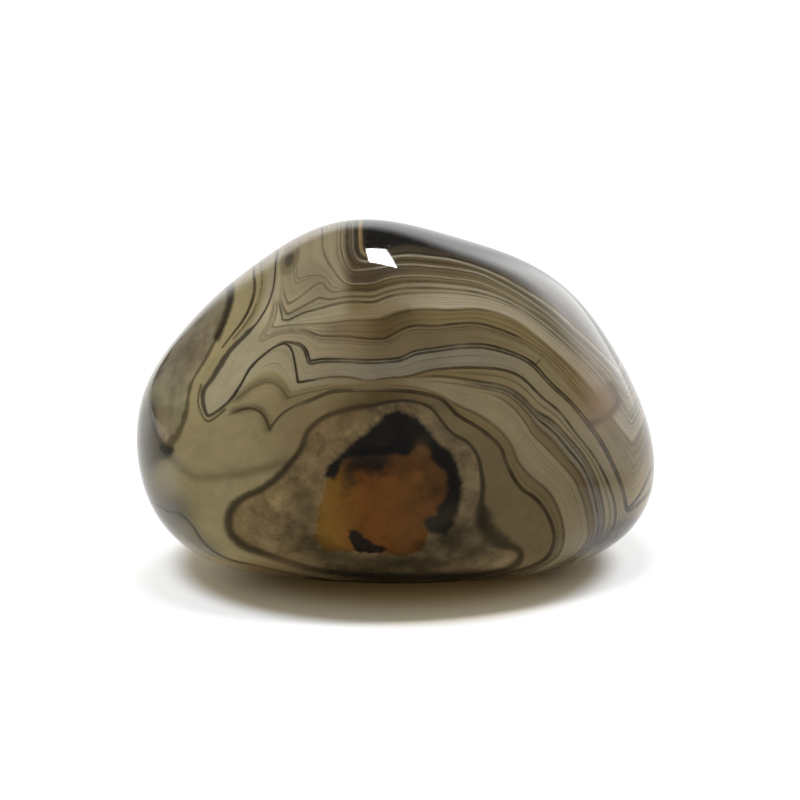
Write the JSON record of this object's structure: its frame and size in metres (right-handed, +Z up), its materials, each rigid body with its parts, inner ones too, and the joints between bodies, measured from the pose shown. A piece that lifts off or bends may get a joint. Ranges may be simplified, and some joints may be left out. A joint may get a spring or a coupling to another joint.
{
  "type": "polished agate pebble",
  "caption": "Tumbled and polished banded agate pebble with dark moss-like inclusions round an amber patch, lying on its worn flat belly.",
  "frame": {"origin": "middle of the stone's box, at the level of the surface that it lies on", "axes": "+X along the stone, towards its narrower low end; +Z up; the broad polished face with the amber patch looks towards -Y"},
  "size_m": [0.0598, 0.0474, 0.039],
  "materials": {
    "agate": "polished"
  },
  "bodies": {
    "root": {"agate_pebble": "agate"}
  },
  "joints": []
}
